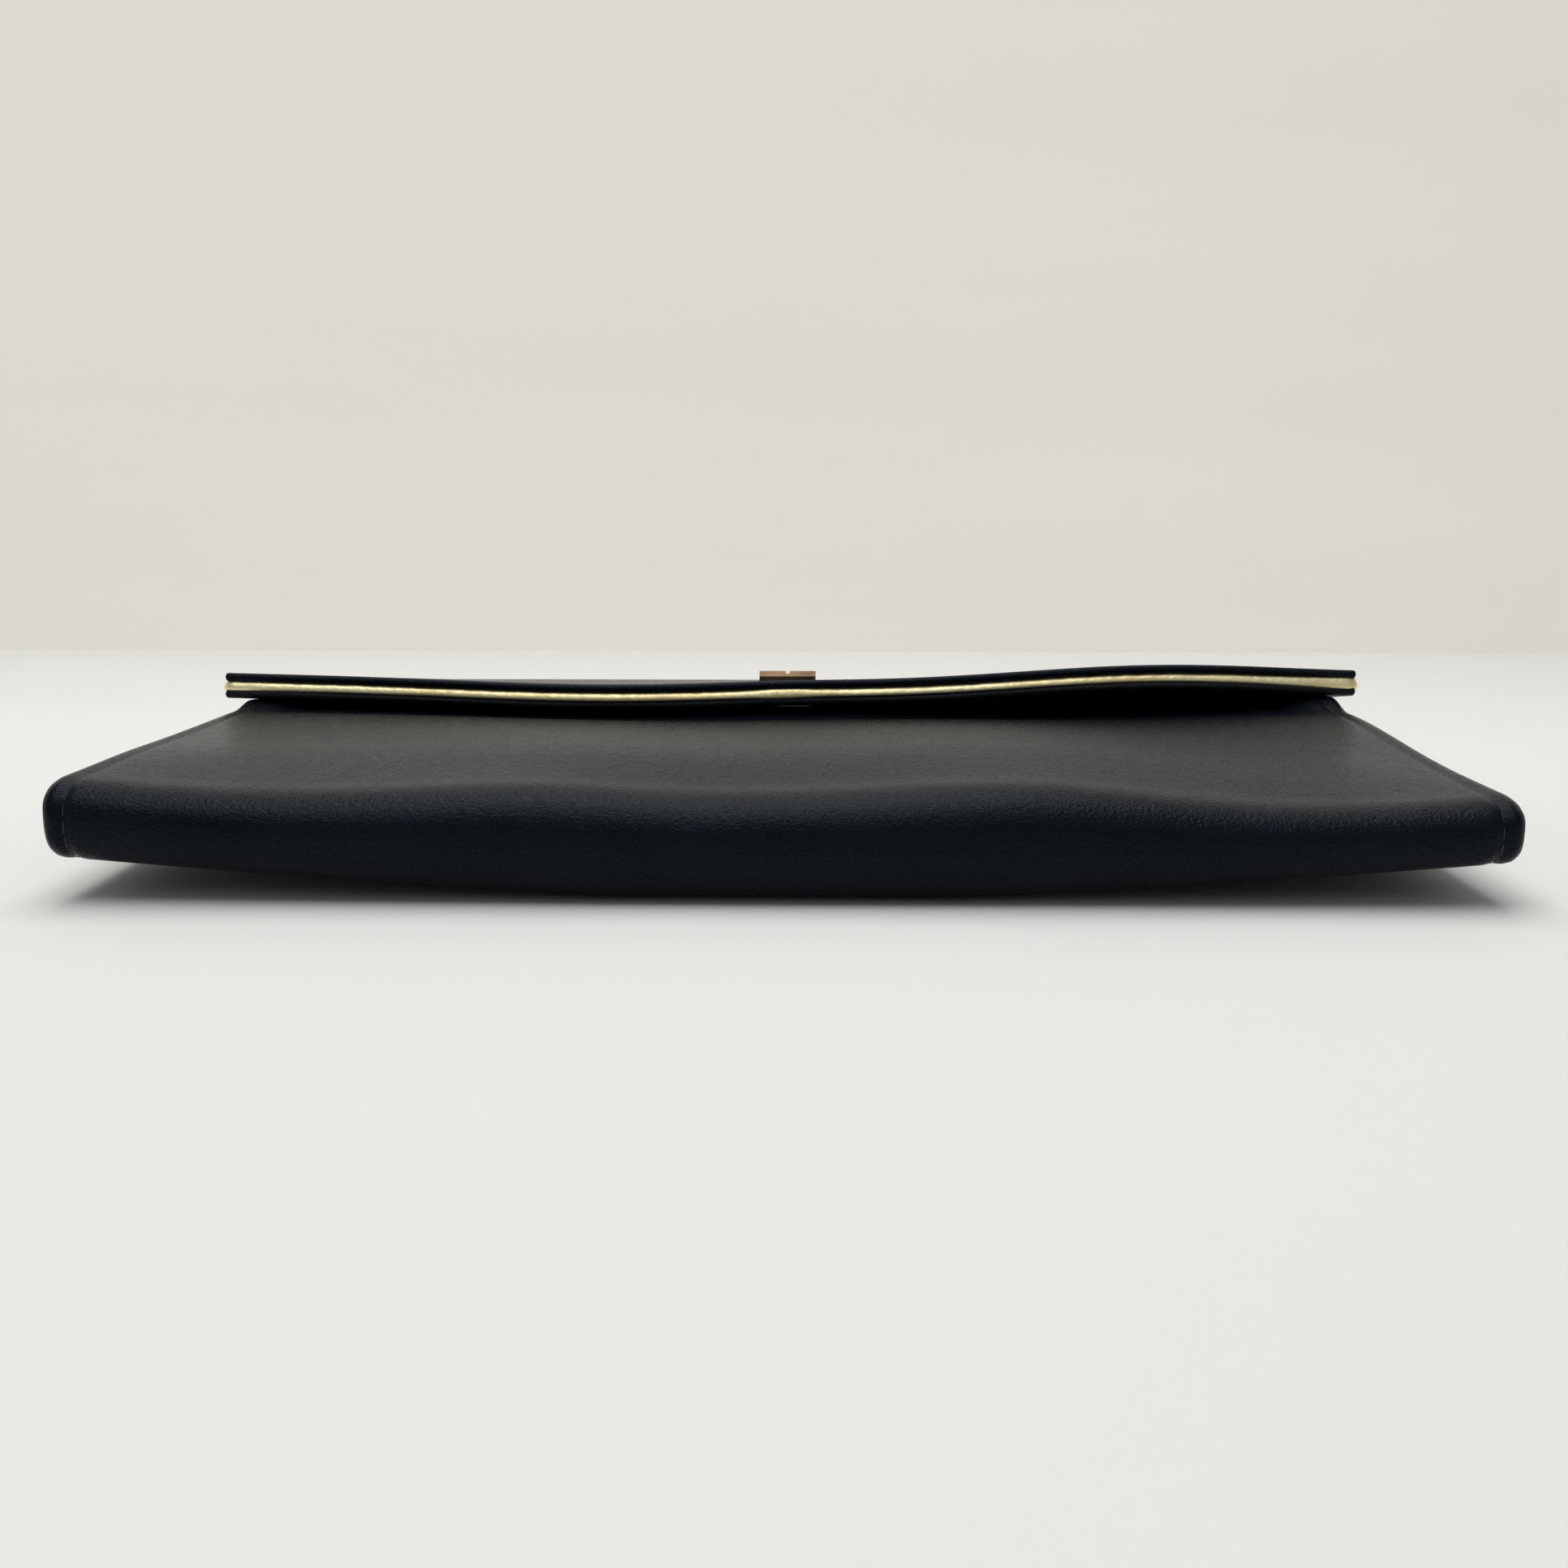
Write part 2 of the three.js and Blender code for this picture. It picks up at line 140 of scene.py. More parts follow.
def bump(value, centre, spread):
    return np.exp(-((value - centre) / spread) ** 2 / 2)


def swellings(x, table):
    return sum(height * bump(x, centre, spread) for height, centre, spread in table)


def groove(x):
    """The line that the topstitch presses in along each side edge."""
    return GROOVE * bump(np.abs(x), STITCH_X, GROOVE_WIDE)


def back_z(x, y):
    """The underside: flat in the middle, lifting off the table towards the sides."""
    side = clamp01((np.abs(x) - BACK_FLAT_X) / (HALF_W - BACK_FLAT_X))
    along = clamp01((y - BOTTOM_Y) / (TOP_Y - BOTTOM_Y))
    return BACK_LIFT * side ** 1.25 * (1 - BACK_LIFT_LOST * along) + groove(x)


def panel_near(x, y):
    """The front panel's waves towards the bottom fold: soft swellings, a twist and the rolled shoulder."""
    swell = (FOLD_LIFT + swellings(x, FOLD_SWELLS)) * np.exp(-clamp01((y - BOTTOM_Y) / 100) * 3.2)
    twist = -PANEL_TWIST * ease((x - 40) / 80) * ease((8 - y) / 60)
    rolled = (1 - ease((y - BOTTOM_Y) / 40)) * (1 - 0.85 * (x / HALF_W) ** 8)
    return swell + twist - (SHOULDER_ROLL + SHOULDER_FULL * bump(x, 25, 45)) * rolled


def panel_far(x, y):
    """The front panel towards the flap: a hollow before its edge, and a low ridge before the snap."""
    drop = FRONT_DROP * ease((y - FRONT_DROP_Y) / (FRONT_TOP_Y - FRONT_DROP_Y))
    ridge = SNAP_RIDGE * bump(x, 0, 22) * bump(y, 27, 3.6)
    hollow = HOLLOW * ease((y - 8) / 12) * (1 - 0.4 * bump(x, 0, 22))
    return ridge - drop - hollow


def flap_contact(x, y):
    """1 where the front panel's sides rise to touch the flap, and 0 where the panel keeps its own height."""
    corner = ease((np.abs(x) - 110) / 13) * ease((y - 9) / 15)
    beneath = ease((np.abs(x) - 45) / 40) * ease((y - 26) / 14)
    return np.maximum(corner, beneath) * ease((66 - y) / 14)


def front_z(x, y):
    """The front panel's outer face."""
    side = x / HALF_W
    crown = FRONT_CROWN * ease((24 - y) / 54) * (1 - 0.25 * ease((-30 - y) / 41)) * (1 - side * side)
    ripple = PANEL_RIPPLE * np.sin(x / 17 + y / 31) * ease((60 - np.abs(y)) / 40)
    plain = FRONT_Z + FRONT_SIDE_RISE * side * side + crown + ripple + panel_near(x, y) + panel_far(x, y)
    under = flap_z(x, y) - FACING_NEAR - FLAP_SKIN - EDGE_FULL * edge_fullness(x, y) - FLAP_CLEAR
    close = flap_contact(x, y)
    return plain * (1 - close) + under * close - groove(x)


def edge_fullness(x, y):
    """1 at the flap's three free edges, where the cloth is double, and 0 further in."""
    front = 1 - ease((y - FLAP_EDGE_Y - EDGE_TURN) / EDGE_BAND)
    side = 1 - ease((FLAP_HALF_W - np.abs(x) - EDGE_TURN) / EDGE_BAND)
    return np.maximum(front, side)


def flap_rise(y):
    return clamp01((REAR_Y - y) / (REAR_Y - FLAP_EDGE_Y))


def flap_z(x, y):
    """The outer face of the flap's board, which its layers are measured from."""
    side = x / FLAP_HALF_W
    rise = FLAP_RISE + FLAP_SIDE_RISE * side * side + swellings(x, FLAP_WAVES)
    return FLAP_REAR_Z + rise * flap_rise(y)


def flap_top_z(x, y):
    """The flap's satin."""
    return flap_z(x, y) + FLAP_PUFF * flap_rise(y)


# Runs: each gives the outer face's (y, z) at every x along one stretch of the wrap.
def along_y(surface, start, end, count):
    """start and end are numbers or functions of x."""
    def run(x):
        first, last = ((at(x) if callable(at) else at + 0 * x)[:, None] for at in (start, end))
        y = first + (last - first) * np.linspace(0, 1, count)[None, :]
        return y, surface(x[:, None], y)
    return run


def joined(*runs):
    """Several runs end to end; each one's first station repeats the last one's end and is dropped."""
    def run(x):
        parts = [part(x) for part in runs]
        ys = [parts[0][0]] + [y[:, 1:] for y, z in parts[1:]]
        zs = [parts[0][1]] + [z[:, 1:] for y, z in parts[1:]]
        return np.concatenate(ys, 1), np.concatenate(zs, 1)
    return run


def fold_depth(x):
    """The fold is rounder in the middle than at its sewn ends."""
    return FOLD_DEPTH + FOLD_FULL * (1 - (x / HALF_W) ** 4)


def fold_centre_y(x):
    return BOTTOM_Y + fold_depth(x)


def under_seam_y(x):
    return fold_centre_y(x) - UNDER_LAP


def fold_run(x):
    """Round the bottom fold, from the underside up to the front."""
    angle = np.linspace(-math.pi / 2, math.pi / 2, 41)[None, :]
    centre_y = fold_centre_y(x)[:, None]
    low = back_z(x[:, None], centre_y)
    high = front_z(x[:, None], centre_y)
    across = np.abs(np.cos(angle)) ** (2 / FOLD_POWER)
    up = np.sign(np.sin(angle)) * np.abs(np.sin(angle)) ** (2 / FOLD_POWER)
    y = centre_y - (fold_depth(x) - groove(x))[:, None] * across
    z = (low + high) / 2 + (high - low) / 2 * up
    return y, z


def corner_run(low_z, start, end, count=13):
    """Part of a top corner; angles in degrees, 0 pointing at +Y. low_z gives the corner centre's height."""
    def run(x):
        angle = np.radians(np.linspace(start, end, count))[None, :]
        y = REAR_Y + TOP_R * np.cos(angle) + 0 * x[:, None]
        z = low_z(x)[:, None] + TOP_R * np.sin(angle)
        return y, z
    return run


def upper_centre(x):
    return FLAP_REAR_Z - TOP_R + 0 * x


def lower_centre(x):
    return back_z(x, REAR_Y) + TOP_R


def straight_run(from_z, to_z, count):
    def run(x):
        share = np.linspace(0, 1, count)[None, :]
        z = from_z(x)[:, None] * (1 - share) + to_z(x)[:, None] * share
        return TOP_Y + 0 * z, z
    return run


def top_seam(x):
    return (upper_centre(x) + lower_centre(x)) / 2


def grid_points(run, xs):
    y, z = run(xs)
    x = xs[:, None] + 0 * y
    return np.stack([x, y, z], -1)


def grid_normals(points):
    """Unit outward normals of a grid whose rows run along the wrap."""
    du = np.gradient(points, axis=0)
    dv = np.gradient(points, axis=1)
    normal = np.cross(du, dv)
    return normal / np.maximum(np.linalg.norm(normal, axis=-1, keepdims=True), 1e-9)


def turned_edge(points, depth, allowance, steps=7):
    """Adds, at both sides of a grid, the cloth that turns round the edge and back underneath."""
    normal = grid_normals(points)
    parts = [points]
    for side, at in ((-1, 0), (1, -1)):
        edge, inward = points[at], -normal[at]
        out = np.array([side, 0.0, 0.0])
        rows = []
        for angle in np.linspace(0, math.pi, steps + 1)[1:]:
            drop = inward * depth / 2 * (1 - math.cos(angle))
            rows.append(edge + drop + out * depth / 2 * math.sin(angle))
        under = rows[-1]
        for share in np.linspace(0, 1, 4)[1:]:
            rows.append(under - out * allowance * share)
        block = np.stack(rows, 0)
        parts = [block[::-1]] + parts if side < 0 else parts + [block]
    return np.concatenate(parts, 0)


def mesh_object(name, verts, faces):
    mesh = bpy.data.meshes.new(name)
    mesh.from_pydata((np.asarray(verts) * MM).tolist(), [], faces)
    mesh.validate()
    mesh.update()
    mesh.polygons.foreach_set("use_smooth", [True] * len(mesh.polygons))
    obj = bpy.data.objects.new(name, mesh)
    bpy.context.scene.collection.objects.link(obj)
    return obj


def thick_sheet(name, points, thickness, rim_steps=3):
    """A closed sheet with a rounded rim. points is its outer face; thickness is one number or a grid."""
    normal = grid_normals(points)
    thickness = thickness + 0 * points[..., :1]
    rows, cols = points.shape[:2]
    outline = [(i, 0) for i in range(rows)] + [(rows - 1, j) for j in range(1, cols)]
    outline += [(i, cols - 1) for i in range(rows - 2, -1, -1)] + [(0, j) for j in range(cols - 2, 0, -1)]
    du, dv = np.gradient(points, axis=0), np.gradient(points, axis=1)

    def outward(i, j):
        push = np.zeros(3)
        push += (du[i, j] if i == rows - 1 else -du[i, j] if i == 0 else 0)
        push += (dv[i, j] if j == cols - 1 else -dv[i, j] if j == 0 else 0)
        return push / max(np.linalg.norm(push), 1e-9)

    inner = points - normal * thickness
    verts = list(points.reshape(-1, 3)) + list(inner.reshape(-1, 3))
    faces = []
    count = rows * cols
    for i in range(rows - 1):
        for j in range(cols - 1):
            a, b = i * cols + j, (i + 1) * cols + j
            faces.append((a, b, b + 1, a + 1))
            faces.append((count + a, count + a + 1, count + b + 1, count + b))
    rings = []
    for k in range(1, rim_steps + 1):
        angle = math.pi * k / (rim_steps + 1)
        ring = []
        for i, j in outline:
            half = thickness[i, j] / 2
            down = normal[i, j] * half * (1 - math.cos(angle))
            ring.append(len(verts))
            verts.append(points[i, j] - down + outward(i, j) * half * math.sin(angle) * 0.9)
        rings.append(ring)
    top = [i * cols + j for i, j in outline]
    chain = [top] + rings + [[count + k for k in top]]
    for upper, lower in zip(chain, chain[1:]):
        for k in range(len(outline)):
            n = (k + 1) % len(outline)
            faces.append((upper[k], lower[k], lower[n], upper[n]))
    return mesh_object(name, verts, faces)


def spaced(half_width, count, band=7.0, band_count=18):
    """Stations across, closer together in a band at each end."""
    inner = np.linspace(band - half_width, half_width - band, count)
    outer = np.linspace(half_width - band, half_width, band_count)[1:]
    return np.concatenate([-outer[::-1], inner, outer])


def inward(points, depth):
    return points - grid_normals(points) * depth


# Materials
def new_material(name):
    material = bpy.data.materials.new(name)
    material.use_nodes = True
    tree = material.node_tree
    return material, tree, tree.nodes["Principled BSDF"]


def node(tree, kind, **values):
    made = tree.nodes.new(kind)
    for key, value in values.items():
        if key in made.inputs:
            made.inputs[key].default_value = value
        else:
            setattr(made, key, value)
    return made


def noise(tree, scale, detail=3.0, stretch=(1, 1, 1)):
    place = node(tree, "ShaderNodeTexCoord")
    fit = node(tree, "ShaderNodeMapping")
    fit.inputs["Scale"].default_value = stretch
    made = node(tree, "ShaderNodeTexNoise", Scale=scale, Detail=detail)
    tree.links.new(place.outputs["Object"], fit.inputs["Vector"])
    tree.links.new(fit.outputs["Vector"], made.inputs["Vector"])
    return made


def paint(tree, shader, pattern, dark, light, start=0.3, end=0.7):
    """Colours the shader from dark to light by the pattern."""
    made = node(tree, "ShaderNodeValToRGB")
    for stop, at, colour in zip(made.color_ramp.elements, (start, end), (dark, light)):
        stop.position = at
        stop.color = (*colour, 1)
    tree.links.new(pattern.outputs["Fac"], made.inputs["Fac"])
    tree.links.new(made.outputs["Color"], shader.inputs["Base Color"])


def vary(tree, shader, socket, pattern, low, high):
    """Varies one of the shader's values from low to high by the pattern."""
    made = node(tree, "ShaderNodeMapRange")
    made.inputs["To Min"].default_value = low
    made.inputs["To Max"].default_value = high
    tree.links.new(pattern.outputs["Fac"], made.inputs["Value"])
    tree.links.new(made.outputs["Result"], shader.inputs[socket])


def add_bump(tree, shader, heights, distance):
    """heights is a list of (pattern, strength) pairs, stacked."""
    last = None
    for pattern, strength in heights:
        made = node(tree, "ShaderNodeBump", Strength=strength, Distance=distance)
        tree.links.new(pattern.outputs["Fac"], made.inputs["Height"])
        if last is not None:
            tree.links.new(last, made.inputs["Normal"])
        last = made.outputs["Normal"]
    tree.links.new(last, shader.inputs["Normal"])


def satin_material(name, dark, light, roughness, shine):
    """Fine satin: a tight grain along the warp, over faint changes of colour and shine."""
    material, tree, shader = new_material(name)
    cloud = noise(tree, 55, 4)
    grain = noise(tree, 1900, 2, (1, 1.6, 1.6))
    weave = noise(tree, 420, 3)
    pebble = noise(tree, 1500, 2, (1, 0.4, 1))
    paint(tree, shader, cloud, dark, light)
    vary(tree, shader, "Roughness", weave, roughness - 0.05, roughness + 0.07)
    vary(tree, shader, "Specular IOR Level", grain, 0.0, 2 * shine)
    shader.inputs["Specular Tint"].default_value = (0.7, 0.83, 1.0, 1)
    heights = [(grain, 0.6), (weave, 0.3), (pebble, 0.45)]
    add_bump(tree, shader, heights, 0.00024)
    return material


def gold_leather_material():
    """Metallic foil leather: fine crackle grain, in darker and lighter patches."""
    material, tree, shader = new_material("gold_leather")
    grain = noise(tree, 900, 4)
    patch = noise(tree, 130, 3, (0.4, 1, 1))
    paint(tree, shader, patch, (0.86, 0.7, 0.35), (1.0, 0.88, 0.52), 0.3, 0.62)
    vary(tree, shader, "Roughness", grain, 0.3, 0.5)
    shader.inputs["Metallic"].default_value = 0.6
    add_bump(tree, shader, [(grain, 0.5)], 0.0003)
    return material


def metal_material(name, dark, light, roughness):
    """Plated metal with faint brushing and handling marks."""
    material, tree, shader = new_material(name)
    brush = noise(tree, 700, 2, (0.08, 1, 1))
    smear = noise(tree, 160, 4)
    paint(tree, shader, smear, dark, light, 0.35, 0.65)
    vary(tree, shader, "Roughness", smear, roughness - 0.06, roughness + 0.1)
    shader.inputs["Metallic"].default_value = 1.0
    add_bump(tree, shader, [(brush, 0.12)], 0.0001)
    return material


def twill_material():
    """Lining: diagonal twill ribs and a slight slub."""
    material, tree, shader = new_material("twill")
    place = node(tree, "ShaderNodeTexCoord")
    turn = node(tree, "ShaderNodeMapping")
    turn.inputs["Rotation"].default_value = (0, 0, math.radians(45))
    ribs = node(tree, "ShaderNodeTexWave", Scale=420.0, Distortion=0.6)
    tree.links.new(place.outputs["Object"], turn.inputs["Vector"])
    tree.links.new(turn.outputs["Vector"], ribs.inputs["Vector"])
    slub = noise(tree, 90, 4)
    paint(tree, shader, slub, (0.012, 0.012, 0.014), (0.026, 0.026, 0.03))
    vary(tree, shader, "Roughness", ribs, 0.6, 0.85)
    add_bump(tree, shader, [(ribs, 0.3)], 0.0002)
    return material


def card_material():
    """Fibre board: mottled grey-brown."""
    material, tree, shader = new_material("card")
    fibre = noise(tree, 300, 6)
    paint(tree, shader, fibre, (0.17, 0.14, 0.11), (0.3, 0.26, 0.2))
    vary(tree, shader, "Roughness", fibre, 0.8, 0.95)
    add_bump(tree, shader, [(fibre, 0.3)], 0.0003)
    return material


def thread_material():
    material, tree, shader = new_material("thread")
    twist = noise(tree, 2200, 2)
    paint(tree, shader, twist, (0.025, 0.028, 0.034), (0.07, 0.075, 0.088))
    vary(tree, shader, "Roughness", twist, 0.45, 0.65)
    return material


SATIN = satin_material("satin", (0.0036, 0.0049, 0.0078), (0.0056, 0.0074, 0.0112), 0.25, 0.09)
EDGE = satin_material("turned_edge", (0.0035, 0.0025, 0.0028), (0.007, 0.0052, 0.0055), 0.5, 0.2)
GOLD_LEATHER = gold_leather_material()
GOLD = metal_material("old_gold", (0.08, 0.05, 0.03), (0.17, 0.11, 0.065), 0.42)
NICKEL = metal_material("nickel", (0.4, 0.4, 0.38), (0.58, 0.57, 0.54), 0.3)
TWILL = twill_material()
CARD = card_material()
THREAD = thread_material()


def dress(obj, material, slot, body, *replaced):
    obj.data.materials.clear()
    obj.data.materials.append(material)
    if body:
        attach(obj, body)
    if replaced:
        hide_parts(*replaced)


# Satin wrap
BODY_X = spaced(HALF_W - TURN_DEPTH / 2 + BODY_FULL, 190)
FLAP_X = spaced(FLAP_HALF_W - 0.9, 190)
FRONT_RUN = joined(fold_run, along_y(front_z, fold_centre_y, FRONT_TOP_Y, 90))
BACK_RUN = joined(
    straight_run(top_seam, lower_centre, 6),
    corner_run(lower_centre, 0, -90),
    along_y(back_z, REAR_Y, under_seam_y, 90),
)
FLAP_ROLL = joined(corner_run(upper_centre, 90, 0), straight_run(upper_centre, top_seam, 6))
FLAP_RUN = joined(along_y(flap_top_z, FLAP_EDGE_Y, REAR_Y, 60), FLAP_ROLL)
FACING_RUN = joined(along_y(flap_z, FLAP_EDGE_Y, REAR_Y, 60), FLAP_ROLL)


def blend_mouth(obj):
    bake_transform(obj)


def blend_rear(obj):
    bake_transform(obj)


def blend_flap(obj):
    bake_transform(obj)


def make_panel(name, run, blend, replaced):
    points = turned_edge(grid_points(run, BODY_X), TURN_DEPTH, ALLOWANCE)
    panel = thick_sheet(name, points, COVER)
    dress(panel, SATIN, "satin", None, *replaced)
    blend(panel)


def taper(y):
    """The flap is wider than the body; its sides draw in towards the top fold."""
    return 1 - ease((y - TAPER_FROM_Y) / (TOP_Y - TAPER_FROM_Y)) * (1 - (HALF_W + BODY_FULL) / FLAP_HALF_W)


def tapered(points):
    points = points.copy()
    points[..., 0] *= taper(points[..., 1])
    return points


def flap_thickness(points):
    return FLAP_SKIN + EDGE_FULL * edge_fullness(points[..., :1], points[..., 1:2])


def make_flap():
    outer = tapered(grid_points(FLAP_RUN, FLAP_X))
    cover = thick_sheet("flap_satin", outer, flap_thickness(outer))
    dress(cover, SATIN, "satin", None, "flap_cover")
    blend_flap(cover)
    lower = inward(tapered(grid_points(FACING_RUN, FLAP_X)), FACING_NEAR)
    facing = thick_sheet("flap_facing_satin", lower, flap_thickness(lower))
    dress(facing, EDGE, "satin_edge", None, "flap_facing", "top_fold_lining")
    blend_flap(facing)


def gold_path():
    """Points along the flap's free edge, (x, y) with the outward direction there."""
    edge_x, edge_y, turn = FLAP_HALF_W - 0.6, FLAP_EDGE_Y, 1.6
    path = [(-edge_x * taper(y), y, -1.0, 0.0) for y in np.linspace(GOLD_REAR_Y, edge_y + turn, 40)]
    for angle in np.radians(np.linspace(180, 270, 7))[1:]:
        path.append((-edge_x + turn + turn * math.cos(angle), edge_y + turn + turn * math.sin(angle),
                     math.cos(angle), math.sin(angle)))
    path += [(x, edge_y, 0.0, -1.0) for x in np.linspace(-edge_x + turn, 0, 180)[1:]]
    return path + [(-x, y, -ox, oy) for x, y, ox, oy in path[-2::-1]]


def gold_section(thick, proud):
    """The folded strip as (outward, up) pairs: its outer face from lip to lip, then its inner face back."""
    face = [(-4.0, 0.9), (-1.6, 0.95), (-0.4, 1.0), (0.2, 0.93), (0.52, 0.68), (0.76, 0.32), (0.92, -0.05),
            (1.0, -0.42), (0.93, -0.76), (0.5, -0.96), (-0.4, -1.0), (-1.6, -0.95), (-4.0, -0.9)]
    outer = [(o * proud if o > 0 else o, u * thick) for o, u in face]
    inner = [(o - GOLD_SKIN * max(o, 0) / proud, u * (1 - GOLD_SKIN / thick)) for o, u in outer]
    return outer + inner[::-1]


def gold_rings(path):
    """The strip's section at each point of its path: fuller at the join and at the flap's corners."""
    rng = random.Random(4)
    jitter = [rng.uniform(-1, 1) for _ in path]
    rings = []
    for k, (x, y, ox, oy) in enumerate(path):
        near = (jitter[k - 1] + jitter[k] + jitter[(k + 1) % len(path)]) / 3
        swell = float(swellings(x, GOLD_SWELLS))
        corner = (0.5 if x > 0 else 0.12) * bump(abs(x), FLAP_HALF_W, 11) * bump(y, FLAP_EDGE_Y, 9)
        thick = GOLD_HALF_T * (1 + swell + corner + 0.05 * near)
        section = gold_section(thick, GOLD_PROUD + 0.06 * near)
        middle = float(flap_z(np.float64(x), np.float64(y))) - GOLD_MIDDLE + 0.04 * near
        rings.append([(x + ox * out, y + oy * out, middle + up) for out, up in section])
    return rings, section


def strip_faces(stations, ring):
    """Faces of a folded strip: round every pair of stations, and across its two ends."""
    faces = []
    for k in range(stations - 1):
        for m in range(ring):
            n = (m + 1) % ring
            faces.append((k * ring + m, k * ring + n, (k + 1) * ring + n, (k + 1) * ring + m))
    last = (stations - 1) * ring
    for m in range(ring // 2 - 1):
        n = ring - 1 - m
        faces.append((m, n, n - 1, m + 1))
        faces.append((last + m, last + m + 1, last + n - 1, last + n))
    return faces


def make_gold():
    path = gold_path()
    rings, section = gold_rings(path)
    ring = len(section)
    verts = [place for part in rings for place in part]
    gold = mesh_object("gold_edge", verts, strip_faces(len(path), ring))
    outward_faces(gold)
    dress(gold, GOLD_LEATHER, "gold_leather", "flap", "gold_piping")


def outward_faces(obj):
    bpy.context.view_layer.objects.active = obj
    for other in bpy.context.selected_objects:
        other.select_set(False)
    obj.select_set(True)
    bpy.ops.object.mode_set(mode="EDIT")
    bpy.ops.mesh.select_all(action="SELECT")
    bpy.ops.mesh.normals_make_consistent(inside=False)
    bpy.ops.object.mode_set(mode="OBJECT")


def make_lining(name, run, blend, replaced):
    points = inward(grid_points(run, spaced(LINING_HALF_W, 90)), LINING_NEAR)
    lining = thick_sheet(name, points, LINING_T)
    dress(lining, TWILL, "lining", None, *replaced)
    blend(lining)


def edge_roll_run(x):
    """The satin turned over the front panel's top edge and down inside."""
    angle = np.radians(np.linspace(80, -90, 12))[None, :]
    radius = ROLL_DEPTH / 2
    top = front_z(x, FRONT_TOP_Y)[:, None]
    y = FRONT_TOP_Y - 0.3 + radius * np.cos(angle) + 0 * top
    z = top - radius + radius * np.sin(angle)
    inside_y = np.linspace(FRONT_TOP_Y - 1.5, FRONT_TOP_Y - ROLL_REACH, 8)[None, :] + 0 * top
    inside_z = front_z(x[:, None], inside_y) - 2 * radius
    return np.concatenate([y, inside_y], 1), np.concatenate([z, inside_z], 1)


def make_mouth_facing():
    points = grid_points(edge_roll_run, spaced(HALF_W - 1.6, 120))
    facing = thick_sheet("mouth_facing", points, ROLL_T)
    dress(facing, SATIN, "satin", "front")


def make_boards():
    board_x = spaced(HALF_W - 4, 60)
    front_run = along_y(front_z, BOTTOM_Y + 19.5, FRONT_TOP_Y - 3, 30)
    back_run = along_y(back_z, REAR_Y - 3, BOTTOM_Y + 16, 30)
    flap_run = along_y(flap_z, FLAP_EDGE_Y + 5.5, REAR_Y - 5, 16)
    boards = (
        ("bottom_card", fold_run, BOARD_NEAR, BOARD_T, "body", "bottom_board"),
        ("front_card", front_run, BOARD_NEAR, BOARD_T, "front", "front_board"),
        ("back_card", back_run, BOARD_NEAR, BOARD_T, "body", "back_board"),
        ("flap_card", flap_run, FLAP_BOARD_NEAR, FLAP_BOARD_T, "flap", "flap_board"),
    )
    for name, run, depth, thickness, body, replaced in boards:
        points = inward(grid_points(run, board_x), depth)
        dress(thick_sheet(name, points, thickness), CARD, "board", body, replaced)


def gusset_points(side):
    """A strip folded inwards along its middle, between the two turned side edges."""
    ys = np.linspace(*GUSSET_Y, 70)
    leg = np.linspace(-1, 1, 25)
    edge_x, fold_x = HALF_W - GUSSET_IN, HALF_W - GUSSET_REACH
    grid = np.zeros((len(leg), len(ys), 3))
    for j, y in enumerate(ys):
        low = float(back_z(edge_x, y)) + TURN_DEPTH + GUSSET_GAP
        high = float(front_z(np.float64(side * edge_x), y)) - TURN_DEPTH - GUSSET_GAP
        middle = (low + high) / 2
        for i, t in enumerate(leg):
            reach = abs(t) ** 1.5
            x = fold_x + (edge_x - fold_x) * reach
            z = middle + (high - low) / 2 * math.copysign(abs(t) ** 0.8, t)
            grid[i, j] = (side * x, y, z)
    return grid if side > 0 else grid[::-1]


def make_gussets():
    for side, hand in ((-1, "left"), (1, "right")):
        points = gusset_points(side)
        gusset = thick_sheet(f"gusset_fold_{hand}", points, GUSSET_T)
        dress(gusset, EDGE, "gusset", None, f"gusset_{hand}")
        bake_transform(gusset)


def make_pocket():
    xs = spaced(POCKET_HIGH[0], 60)
    run = along_y(back_z, POCKET_HIGH[1], POCKET_LOW[1], 40)
    points = inward(grid_points(run, xs), POCKET_NEAR)
    pocket = thick_sheet("pocket_twill", points, POCKET_T)
    dress(pocket, TWILL, "lining", "body", "slip_pocket")


def resample(line, spacing):
    """Points and directions at even spacing along a polyline."""
    steps = np.linalg.norm(np.diff(line, axis=0), axis=1)
    reach = np.concatenate([[0], np.cumsum(steps)])
    at = np.arange(spacing / 2, reach[-1], spacing)
    points = np.stack([np.interp(at, reach, line[:, k]) for k in range(3)], 1)
    ahead = np.stack([np.interp(at + 0.3, reach, line[:, k]) for k in range(3)], 1)
    behind = np.stack([np.interp(at - 0.3, reach, line[:, k]) for k in range(3)], 1)
    along = ahead - behind
    return points, along / np.maximum(np.linalg.norm(along, axis=1, keepdims=True), 1e-9)


